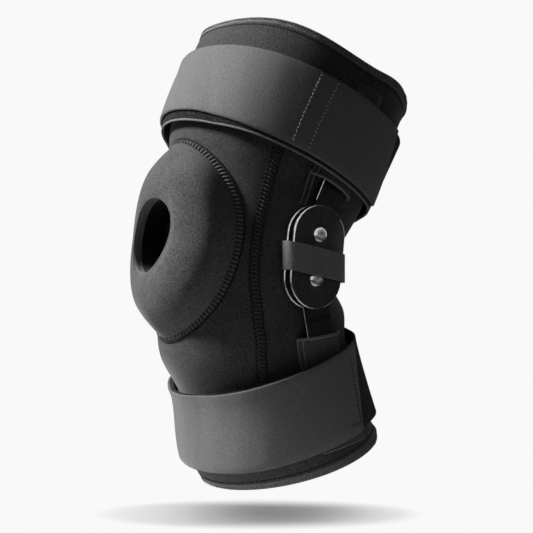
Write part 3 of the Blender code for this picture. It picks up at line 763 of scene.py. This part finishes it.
def make_hem(name, rim, inward, body):
    profile = ((-HEM_WIDTH, -0.3 * MM), (-HEM_WIDTH * 0.9, 0.4 * MM), (-1.5 * MM, 0.6 * MM),
               (0.1 * MM, 0.1 * MM),
               (0.6 * MM, -SLEEVE_WALL / 2), (0.1 * MM, -SLEEVE_WALL - 0.3 * MM),
               (-1.5 * MM, -SLEEVE_WALL - 0.8 * MM), (-HEM_WIDTH, -SLEEVE_WALL - 0.6 * MM))

    def place(u, v):
        line = through(profile, v)
        angle = math.pi * (2 * u - 1) * -inward
        ripple = 0.08 * MM * np.sin(angle * 31) + 0.06 * MM * np.sin(angle * 47 + 1)
        return sleeve_points(rim - inward * line[:, 0], angle, line[:, 1] + ripple * (line[:, 1] > 0))

    piece = cloth(name, 240, 20, place, (0.48, 0.02), closed=True)
    thicken(piece, 0.5 * MM)
    dress(piece, HEM)
    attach(piece, body)
    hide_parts(name)
    angle = np.linspace(-math.pi, math.pi, 1200)

    def row(depth, lift):
        return sleeve_points(np.full(1200, rim + inward * depth), angle, lift)

    line = evenly(row(HEM_WIDTH * 0.45, 0.6 * MM), OVERLOCK_PITCH)
    way, out = frames_along(line, leg_middle(line))
    up = np.cross(out, way)
    threads = stitches(name + "_overlock", line, up * 3 + way * 1.5, out, *OVERLOCK_STITCH)
    dress(threads, THREAD)
    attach(threads, body)
    # The needle row: dark grains of painted shade in the needle holes.
    line = evenly(row(HEM_WIDTH + NEEDLE_BEYOND, 0.1 * MM), NEEDLE_PITCH)
    way, out = frames_along(line, leg_middle(line))
    holes = stitches(name + "_needle_row", line, way, out, *NEEDLE_STITCH)
    dress(holes, DARK_THREAD_AND_HOLE_SHADE)
    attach(holes, body)


make_hem("thigh_hem", THIGH_RIM, -1, "thigh")
make_hem("calf_hem", CALF_RIM, 1, "calf")


# Straps

def stand_off(angle, share, most):
    turn = np.degrees((angle + math.pi) % (2 * math.pi) - math.pi)
    rising = np.where(turn > 0, smooth(turn, LIFT_START, LIFT_FULL),
                      smooth(-turn, MEDIAL_LIFT_START, MEDIAL_LIFT_FULL))
    over_pocket = rising - smooth(np.abs(turn), LIFT_HOLD, LIFT_END)
    flare = np.clip(np.cos(angle), 0, None) * share
    return np.maximum(STRAP_LIFT * over_pocket, most * flare)


Strap = namedtuple("Strap", "name middle knee_side body tab_body outer_share side_share flare tab_ends")
THIGH = Strap("thigh", THIGH_STRAP, -1, "thigh", "thigh_tab", 1 - LINING_DROP / STRAP_WIDTH, 0.97,
              STRAP_FLARE, (119, 132))
CALF = Strap("calf", CALF_STRAP, 1, "calf", "calf_tab", 1.0, 1.0, CALF_FLARE, (107, 121))
OUTER_LIFT = LINING_WALL + LAYER_GAP + STRAP_WALL
SIDE_SPREAD = (math.radians(10), math.radians(62))


def strap_points(strap, angle, share, lift):
    """Points over the sleeve: share runs across the strap from 0, away from the knee, to 1."""
    station = strap.middle + strap.knee_side * STRAP_WIDTH * (share - 0.5)
    return sleeve_points(station, angle, stand_off(angle, share, strap.flare) + CLEARANCE + lift)


def band_profile(width, wall, v):
    """A strap's cross-section as a loop: how far across it, and how deep under its outer face."""
    round_off = wall / 2
    corner = np.linspace(-math.pi / 2, math.pi / 2, 5)
    flat = np.linspace(0, 1, 13)[1:-1]
    far = np.stack([width - round_off + round_off * np.cos(corner[::-1]),
                    round_off - round_off * np.sin(corner[::-1])], -1)
    near = np.stack([round_off - round_off * np.cos(corner), round_off - round_off * np.sin(corner)], -1)
    out = np.stack([round_off + flat * (width - 2 * round_off), 0 * flat], -1)
    under = np.stack([width - round_off - flat * (width - 2 * round_off), 0 * flat + wall], -1)
    loop = np.concatenate([out, far, under, near, out[:1]])
    at = np.linspace(0, 1, len(loop))
    return np.stack([np.interp(v, at, loop[:, k]) for k in (0, 1)], -1), len(loop) - 1


def strap_band(strap, name, first, last, columns, lift, wall, share):
    """A band of webbing from one angle to another, lift being its outer face over the sleeve.

    An end is an angle, or two: at the edge away from the knee and at the knee's edge.
    """
    width = STRAP_WIDTH * share
    loop_count = band_profile(width, wall, np.zeros(1))[1]
    first, last = (np.radians(np.broadcast_to(end, 2)) for end in (first, last))

    def spot(u, across, depth):
        part = across / STRAP_WIDTH
        angle = first[0] + (first[1] - first[0]) * part
        angle = angle + (last[0] + (last[1] - last[0]) * part - angle) * u
        wave = 0.08 * MM * np.sin(angle * 9 + 3 * part) + 0.05 * MM * np.sin(angle * 23 - 5 * part)
        if share < 1:
            part = part * (1 + (strap.side_share / share - 1) * smooth(angle, *SIDE_SPREAD))
        return strap_points(strap, angle, part, lift - depth + wave)

    def place(u, v):
        line = band_profile(width, wall, v if strap.knee_side > 0 else 1 - v)[0]
        return spot(u, line[:, 0], line[:, 1])

    run = np.linspace(0, 1, 400)
    middle = spot(run, np.full(400, width / 2), 0)
    length = float(np.linalg.norm(np.diff(middle, axis=0), axis=1).sum())
    piece = cloth(name, columns, loop_count, place, (length, 2 * width), closed=True)
    pick(piece)
    bpy.ops.object.mode_set(mode="EDIT")
    bpy.ops.mesh.select_all(action="DESELECT")
    bpy.ops.mesh.select_non_manifold(extend=False, use_wire=False, use_multi_face=False, use_verts=False)
    bpy.ops.mesh.edge_face_add()
    bpy.ops.object.mode_set(mode="OBJECT")
    return piece, length


def strap_row(strap, angle, shares, lift, pitch):
    """Evenly spaced points across a strap at one angle, with the directions that stitches take there."""
    share = np.linspace(*shares, 200)
    angle = np.radians(np.linspace(*np.broadcast_to(angle, 2), 200))
    line = evenly(strap_points(strap, angle, share, lift), pitch)
    way, out = frames_along(line, leg_middle(line))
    return line, way, out


def make_strap(strap):
    name = strap.name + "_strap"
    lining, length = strap_band(strap, name + "_lining", -180, 180, 200, LINING_WALL, LINING_WALL * 0.9, 1.0)
    dress(lining, PILE)
    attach(lining, strap.body)
    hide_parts(name + "_lining")
    share = strap.outer_share
    band, length = strap_band(strap, name, STRAP_SEWN_END, TAB_JOIN, 170, OUTER_LIFT, STRAP_WALL, share)
    dress(band, ELASTIC)
    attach(band, strap.body)
    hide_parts(name)
    tab, length = strap_band(strap, name + "_tab", TAB_JOIN, strap.tab_ends, 70, OUTER_LIFT, STRAP_WALL,
                             share)
    dress(tab, ELASTIC)
    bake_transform(tab)
    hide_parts(name + "_tab")


def strap_stitches(strap, name, angle, shares, body, finish, pitch=2.6 * MM, half=1.0 * MM, slant=0.0):
    line, way, out = strap_row(strap, angle, shares, OUTER_LIFT + 0.1 * MM, pitch)
    side = np.cross(out, way)
    turn = np.where(np.arange(len(line)) % 2, slant, -slant)[:, None]
    piece = stitches(name, line, way + side * turn, out, half, 0.4 * MM)
    dress(piece, finish)
    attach(piece, body)


make_strap(THIGH)
make_strap(CALF)
edge_angle = np.radians(np.linspace(-180, 180, 400, endpoint=False))
edge_share = np.full(400, 1.0)
edge_line = strap_points(THIGH, edge_angle, edge_share, LINING_WALL * 0.6)
edge = tube("thigh_lining_edge", edge_line, 0.8 * MM, closed=True)
dress(edge, CUT_EDGE)
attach(edge, "thigh")
strap_stitches(THIGH, "thigh_seam_stitch", 70, (0.03, 0.95), "thigh", PALE_THREAD, slant=0.3)
strap_stitches(THIGH, "thigh_tab_stitch", 78, (0.03, 0.95), "thigh_tab", PALE_THREAD, slant=1.2)
strap_stitches(CALF, "calf_tab_stitch", (107, 112.5), (0.1, 0.88), "calf_tab", DARK_THREAD_AND_HOLE_SHADE, half=0.8 * MM)
strap_stitches(CALF, "calf_tab_box", (99, 107), (0.13, 0.1), "calf_tab", DARK_THREAD_AND_HOLE_SHADE, half=0.8 * MM)


HOOK_START, HOOK_REACH = 80, 27
HOOK_EDGE, HOOK_SLANT, HOOK_WIDTH = -0.02, 0.055, 0.08
HOOK_LIFT, HOOK_WALL = 1.2 * MM, 0.9 * MM


def make_hook_edge():
    """The hook strip sewn under the calf strap's end, showing below it."""
    def place(u, v):
        share = HOOK_EDGE - HOOK_SLANT * u + HOOK_WIDTH * v
        return strap_points(CALF, np.radians(HOOK_START + HOOK_REACH * u), share, LINING_WALL + HOOK_LIFT)

    piece = cloth("calf_hook_strip", 24, 4, place, (0.03, 0.004), closed=False)
    thicken(piece, HOOK_WALL)
    dress(piece, POCKET)
    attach(piece, "calf_tab")
    run = np.linspace(0, 1, 30)
    edge = tube("calf_hook_edge", place(run, 0 * run), 0.5 * MM)
    dress(edge, CUT_EDGE)
    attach(edge, "calf_tab")


make_hook_edge()


# Hinges, bars and pockets, from the solids' own shapes

def node_copy(node, name):
    """A copy of a solid as a clean mesh, its triangles merged back into flat faces."""
    piece = copy_of(frame["nodes"][node], name)
    piece.data.materials.clear()
    pick(piece)
    bpy.ops.object.mode_set(mode="EDIT")
    bpy.ops.mesh.select_all(action="SELECT")
    bpy.ops.mesh.remove_doubles(threshold=0.005 * MM)
    bpy.ops.mesh.dissolve_limited(angle_limit=math.radians(1))
    bpy.ops.object.mode_set(mode="OBJECT")
    return piece


def edge_faces(piece, test):
    """Give the second material to the faces that pass a test of their normal."""
    for face in piece.data.polygons:
        face.material_index = 1 if test(face.normal) else 0


def make_rivet(side, hand, name):
    node = f"{side}_{name}_rivet"
    low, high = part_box(node)
    deselect()
    bpy.ops.mesh.primitive_uv_sphere_add(segments=48, ring_count=24, radius=1)
    piece = bpy.context.object
    piece.name = piece.data.name = node + "_head"
    middle = Vector((hand * HINGE_OUTER, (low.y + high.y) / 2, (low.z + high.z) / 2))
    for point in piece.data.vertices:
        x, y, z = point.co
        dent = 1 - RIVET_DIMPLE * (1 - float(smooth(math.hypot(y, z), 0.1, 0.6)))
        point.co = middle + Vector((x * RIVET_RISE * dent, y * RIVET_HEAD, z * RIVET_HEAD))
    dress(piece, RIVET_STEEL)
    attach(piece, "knee")
    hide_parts(node)


Mouth = namedtuple("Mouth", "front rear heading length taper")
MOUTHS = {"upper": Mouth((57, 87), (57, 118), PLATE_LEAN + BAR_REST_ANGLE, 66 * MM, 0.4),
          "lower": Mouth((-51.5, 87.5), (-59.5, 121.5), 180 + PLATE_LEAN - BAR_REST_ANGLE, 56 * MM, 0.15)}
POCKET_RISE = 5.6 * MM


def make_pocket(side, hand, name, body):
    """A cloth panel sewn over the bar, with a corded mouth and bound front edge."""
    mouth = MOUTHS[name]
    ends = [sleeve_points(np.array(s * MM), np.radians(a), 0)[1:] for s, a in (mouth.front, mouth.rear)]
    middle, half = (ends[0] + ends[1]) / 2, (ends[1] - ends[0]) / 2
    heading = np.array([math.sin(math.radians(mouth.heading)), math.cos(math.radians(mouth.heading))])

    def on_panel(across, along, lift):
        spot = (middle + np.multiply.outer(across * (1 - mouth.taper * along), half)
                + np.multiply.outer(along * mouth.length, heading))
        rise = POCKET_RISE * (1 - np.abs(across) ** 4) + 0.8 * MM * (1 - smooth(along, 0, 0.15))
        x = hand * (side_x(spot[:, 0], spot[:, 1]) + 0.7 * MM + rise + lift)
        return np.stack([x, spot[:, 0], spot[:, 1]], -1)

    flip = hand * heading[1] < 0

    def place(u, v):
        return on_panel((1 - 2 * u) if flip else (2 * u - 1), v, 0)

    piece = cloth(f"{side}_{name}_pocket_cloth", 32, 24, place, (0.04, mouth.length), closed=False)
    thicken(piece, 1.0 * MM)
    dress(piece, POCKET)
    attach(piece, body)
    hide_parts(f"{side}_{name}_pocket")
    across = np.linspace(-1, 1, 60)
    along = np.linspace(0, 0.9, 60)
    edges = (("mouth", on_panel(across, 0 * across, 0.1 * MM), 1.1 * MM),
             ("front_edge", on_panel(0 * along - 1, along, 0.1 * MM), 0.7 * MM),
             ("front_row", on_panel(0 * along - 0.87, along, 0.1 * MM), 0.5 * MM))
    for label, line, radius in edges:
        cord = tube(f"{side}_{name}_pocket_{label}", line, radius)
        dress(cord, PIPING)
        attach(cord, body)


BINDING_LOW, BINDING_HIGH = 37.5, 58
BINDING_FRONT, BINDING_SPAN = 85.5, 4
BINDING_ROWS = (86.0, 87.5, 89.0)
BINDING_LIFT, BINDING_WALL = 2.2 * MM, 1.2 * MM


def make_bar_binding(side, hand):
    """The tape that runs from the upper pocket's mouth down beside the bar, to just above the plates."""
    def place(u, v):
        angle = np.radians(BINDING_FRONT + BINDING_SPAN * (u if hand > 0 else 1 - u))
        station = (BINDING_LOW + (BINDING_HIGH - BINDING_LOW) * v) * MM
        return sleeve_points(station, hand * angle, BINDING_LIFT + 0 * u)

    piece = cloth(side + "_bar_binding", 6, 24, place, (0.005, 0.026), closed=False)
    thicken(piece, BINDING_WALL)
    dress(piece, POCKET)
    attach(piece, "thigh")
    at = np.linspace(BINDING_LOW, BINDING_HIGH, 40) * MM
    for row, angle in enumerate(BINDING_ROWS):
        line = sleeve_points(at, np.full(40, hand * np.radians(angle)), 2.3 * MM)
        thread = tube(f"{side}_binding_row_{row}", line, 0.4 * MM)
        dress(thread, PIPING if row != 1 else DARK_THREAD_AND_HOLE_SHADE)
        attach(thread, "thigh")


def make_loop(side, hand):
    """The webbing that wraps both plates between the rivets, with rounded turns."""
    middle = (HINGE_INNER + HINGE_OUTER) / 2
    deep = (HINGE_OUTER - HINGE_INNER) / 2 + LOOP_WALL * LOOP_SLACK[0]
    wide = PLATE_WIDTH / 2 + LOOP_WALL * LOOP_SLACK[1]
    turn = np.linspace(0, 2 * math.pi, 2001)
    ring = [np.sign(f) * np.abs(f) ** LOOP_SQUARE for f in (np.cos(turn), np.sin(turn))]
    ring = np.stack([middle + deep * ring[0], wide * ring[1]], -1)
    run = np.concatenate([[0], np.cumsum(np.linalg.norm(np.diff(ring, axis=0), axis=1))])

    def place(u, v):
        at = (u if hand > 0 else 1 - u) * run[-1]
        x, y = np.interp(at, run, ring[:, 0]), np.interp(at, run, ring[:, 1])
        z = (v - 0.5) * LOOP_HEIGHT - LOOP_SLOPE * y - LOOP_DROP
        over_rivet = np.exp(-((y + 1.5 * MM) / (9 * MM)) ** 2) * (1 - v) ** 2 * (x > middle)
        return np.stack([hand * (x + 1.6 * MM * over_rivet), y, z], -1)

    piece = cloth(side + "_hinge_loop_webbing", 120, 10, place, (float(run[-1]), LOOP_HEIGHT), closed=True)
    thicken(piece, LOOP_WALL * 0.8)
    dress(piece, HINGE_WEB)
    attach(piece, "knee")
    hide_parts(side + "_hinge_loop")


EDGE_RADIUS = 0.36 * MM
BLADE_START = 34 * MM
BAR_SHOWN = {"upper": (34 * MM, 64 * MM), "lower": (27 * MM, 50 * MM)}


def make_bar_edge(side, hand, name, body):
    """A line of bare steel along a bar's front corner, between the hinge and the pocket, put there for the
    corner's highlight.
    """
    heading = math.radians(MOUTHS[name].heading)
    solid = np.array([tuple(point.co) for point in frame["nodes"][f"{side}_{name}_bar"].data.vertices])
    along = solid[:, 1] * math.sin(heading) + solid[:, 2] * math.cos(heading)
    front = (solid[:, 1] * math.cos(heading) - solid[:, 2] * math.sin(heading)) * np.sign(math.cos(heading))
    blade = along > BLADE_START
    corner = blade & (front < front[blade].min() + 0.2 * MM)
    rows = {}
    for at, point in zip(np.round(along[corner], 4), solid[corner]):
        rows[at] = max(rows.get(at, 0.0), hand * point[0])
    at = np.array(BAR_SHOWN[name])
    x = hand * np.interp(at, sorted(rows), [rows[key] for key in sorted(rows)])
    across = front[blade].min() * np.sign(math.cos(heading))
    line = np.stack([x, at * math.sin(heading) + across * math.cos(heading),
                     at * math.cos(heading) - across * math.sin(heading)], -1)
    edge = tube(f"{side}_{name}_bar_edge", line, EDGE_RADIUS)
    dress(edge, EDGE_STEEL)
    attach(edge, body)


for side, hand in SIDES:
    make_bar_binding(side, hand)
    for name in ("inner", "outer"):
        node = f"{side}_{name}_plate"
        piece = node_copy(node, node + "_finished")
        apply_modifier(piece, "BEVEL", width=0.35 * MM, segments=2, limit_method="ANGLE",
                       angle_limit=math.radians(50))
        dress(piece, (BLACK_STEEL, EDGE_STEEL))
        edge_faces(piece, lambda n: abs(n.x) < 0.8)
        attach(piece, "knee")
        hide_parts(node)
    make_loop(side, hand)
    for name, body in (("upper", "thigh"), ("lower", "calf")):
        make_rivet(side, hand, name)
        make_pocket(side, hand, name, body)
        node = f"{side}_{name}_bar"
        piece = node_copy(node, node + "_finished")
        dress(piece, BAR_STEEL)
        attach(piece, body)
        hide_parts(node)
        make_bar_edge(side, hand, name, body)


# Camera, light and floor

VIEW_TURN = 57
VIEW_DISTANCE = 0.8
IMAGE_SIZE = 533
ORIGIN_PIXEL = (259, 257)
FOCAL_PIXELS = 1765 * VIEW_DISTANCE / 1.2
SENSOR = 36.0
FLOOR = -0.1745
ROOM, ROOM_IN_METAL = 0.031, 0.5
DARK_SIDE = (0.839, 0.545, 0)
SHADE_OVAL = (0.145, 0.062, 1)
TABLE_TOP = (0.1, 0.42, 0.62, 0.03)
BACKDROP, DEEP_SHADE = grey(0.945), grey(0.2)


def make_camera():
    data = bpy.data.cameras.new("camera")
    data.sensor_width = SENSOR
    data.lens = FOCAL_PIXELS * SENSOR / IMAGE_SIZE
    data.shift_x = (IMAGE_SIZE / 2 - ORIGIN_PIXEL[0]) / IMAGE_SIZE
    data.shift_y = -(IMAGE_SIZE / 2 - ORIGIN_PIXEL[1]) / IMAGE_SIZE
    camera = bpy.data.objects.new("camera", data)
    bpy.context.scene.collection.objects.link(camera)
    turn = math.radians(VIEW_TURN)
    camera.location = (VIEW_DISTANCE * math.sin(turn), -VIEW_DISTANCE * math.cos(turn), 0)
    camera.rotation_euler = (math.radians(90), 0, turn)
    bpy.context.scene.camera = camera


def area_light(name, turn, height, distance, size, power):
    data = bpy.data.lights.new(name, "AREA")
    data.shape = "DISK"
    data.size = size
    data.energy = power
    light = bpy.data.objects.new(name, data)
    bpy.context.scene.collection.objects.link(light)
    angle = math.radians(turn)
    light.location = (distance * math.sin(angle), -distance * math.cos(angle), height)
    light.rotation_euler = (-light.location).to_track_quat("-Z", "Y").to_euler()


def make_world():
    """Plain room light; metal sees a brighter room that darkens on one side, the camera a pale backdrop."""
    world = bpy.data.worlds.new("studio")
    bpy.context.scene.world = world
    world.use_nodes = True
    w = Wiring(world)
    back = w.tree.nodes["Background"]
    back.inputs["Color"].default_value = (*BACKDROP, 1)
    path = w.node("ShaderNodeLightPath")
    facing = w.node("ShaderNodeVectorMath", operation="DOT_PRODUCT")
    facing.inputs[1].default_value = DARK_SIDE
    w.join(w.where("Generated"), facing.inputs[0])
    dim = w.eased(facing.outputs["Value"], 0.45, 0.95, 1.6 * ROOM_IN_METAL, 0.3 * ROOM_IN_METAL)
    level = w.maths("MULTIPLY_ADD", path.outputs["Is Glossy Ray"], dim, ROOM)
    w.join(w.maths("MAXIMUM", path.outputs["Is Camera Ray"], level), back.inputs["Strength"])


def make_floor():
    """A pale table top to the light, and to the camera the backdrop with the brace's soft shadow."""
    deselect()
    bpy.ops.mesh.primitive_circle_add(vertices=96, radius=3, fill_type="NGON", location=(0, 0, FLOOR))
    floor = bpy.context.object
    floor.name = "floor"
    made = bpy.data.materials.new("pale_floor")
    made.use_nodes = True
    w = Wiring(made)
    w.shader.inputs["Roughness"].default_value = 0.9
    place = w.where()
    w.join(w.eased(w.length(place), *TABLE_TOP), w.shader.inputs["Base Color"])
    oval = w.node("ShaderNodeMapping", vector_type="TEXTURE", Rotation=(0, 0, math.radians(VIEW_TURN)),
                  Scale=SHADE_OVAL)
    w.join(place, oval.inputs["Vector"])
    fade = w.eased(w.length(oval.outputs[0]), 0, 1, 0, 1)
    shade = w.node("ShaderNodeAmbientOcclusion", samples=16, Distance=0.4)
    open_sky = w.maths("MAXIMUM", shade.outputs["AO"], fade)
    glow = w.node("ShaderNodeEmission")
    w.join(w.shades(open_sky, DEEP_SHADE, BACKDROP, 0.25, 0.88), glow.inputs["Color"])
    mix = w.node("ShaderNodeMixShader")
    w.join(w.node("ShaderNodeLightPath").outputs["Is Camera Ray"], mix.inputs["Fac"])
    w.join(w.shader.outputs[0], mix.inputs[1])
    w.join(glow.outputs[0], mix.inputs[2])
    w.join(mix.outputs[0], w.tree.nodes["Material Output"].inputs["Surface"])
    floor.data.materials.append(made)


make_camera()
make_world()
make_floor()
area_light("key", turn=-26, height=1.15, distance=1.5, size=0.5, power=47)
bpy.context.scene.view_settings.view_transform = "Standard"

CAD_FINISH = {"neoprene": NEOPRENE, "hem_tape": HEM, "woven_elastic": ELASTIC, "hinge_webbing": HINGE_WEB,
              "loop_pile": PILE, "pocket_cloth": POCKET, "pad_gel": NYLON, "hinge_plate": BLACK_STEEL,
              "bar_steel": BAR_STEEL, "rivet_steel": RIVET_STEEL, "washer_nylon": NYLON}
for row in frame["record"]["subparts"]:
    node = frame["nodes"][row["node"]]
    node.data.materials.clear()
    node.data.materials.append(CAD_FINISH[row["material_slot"]])
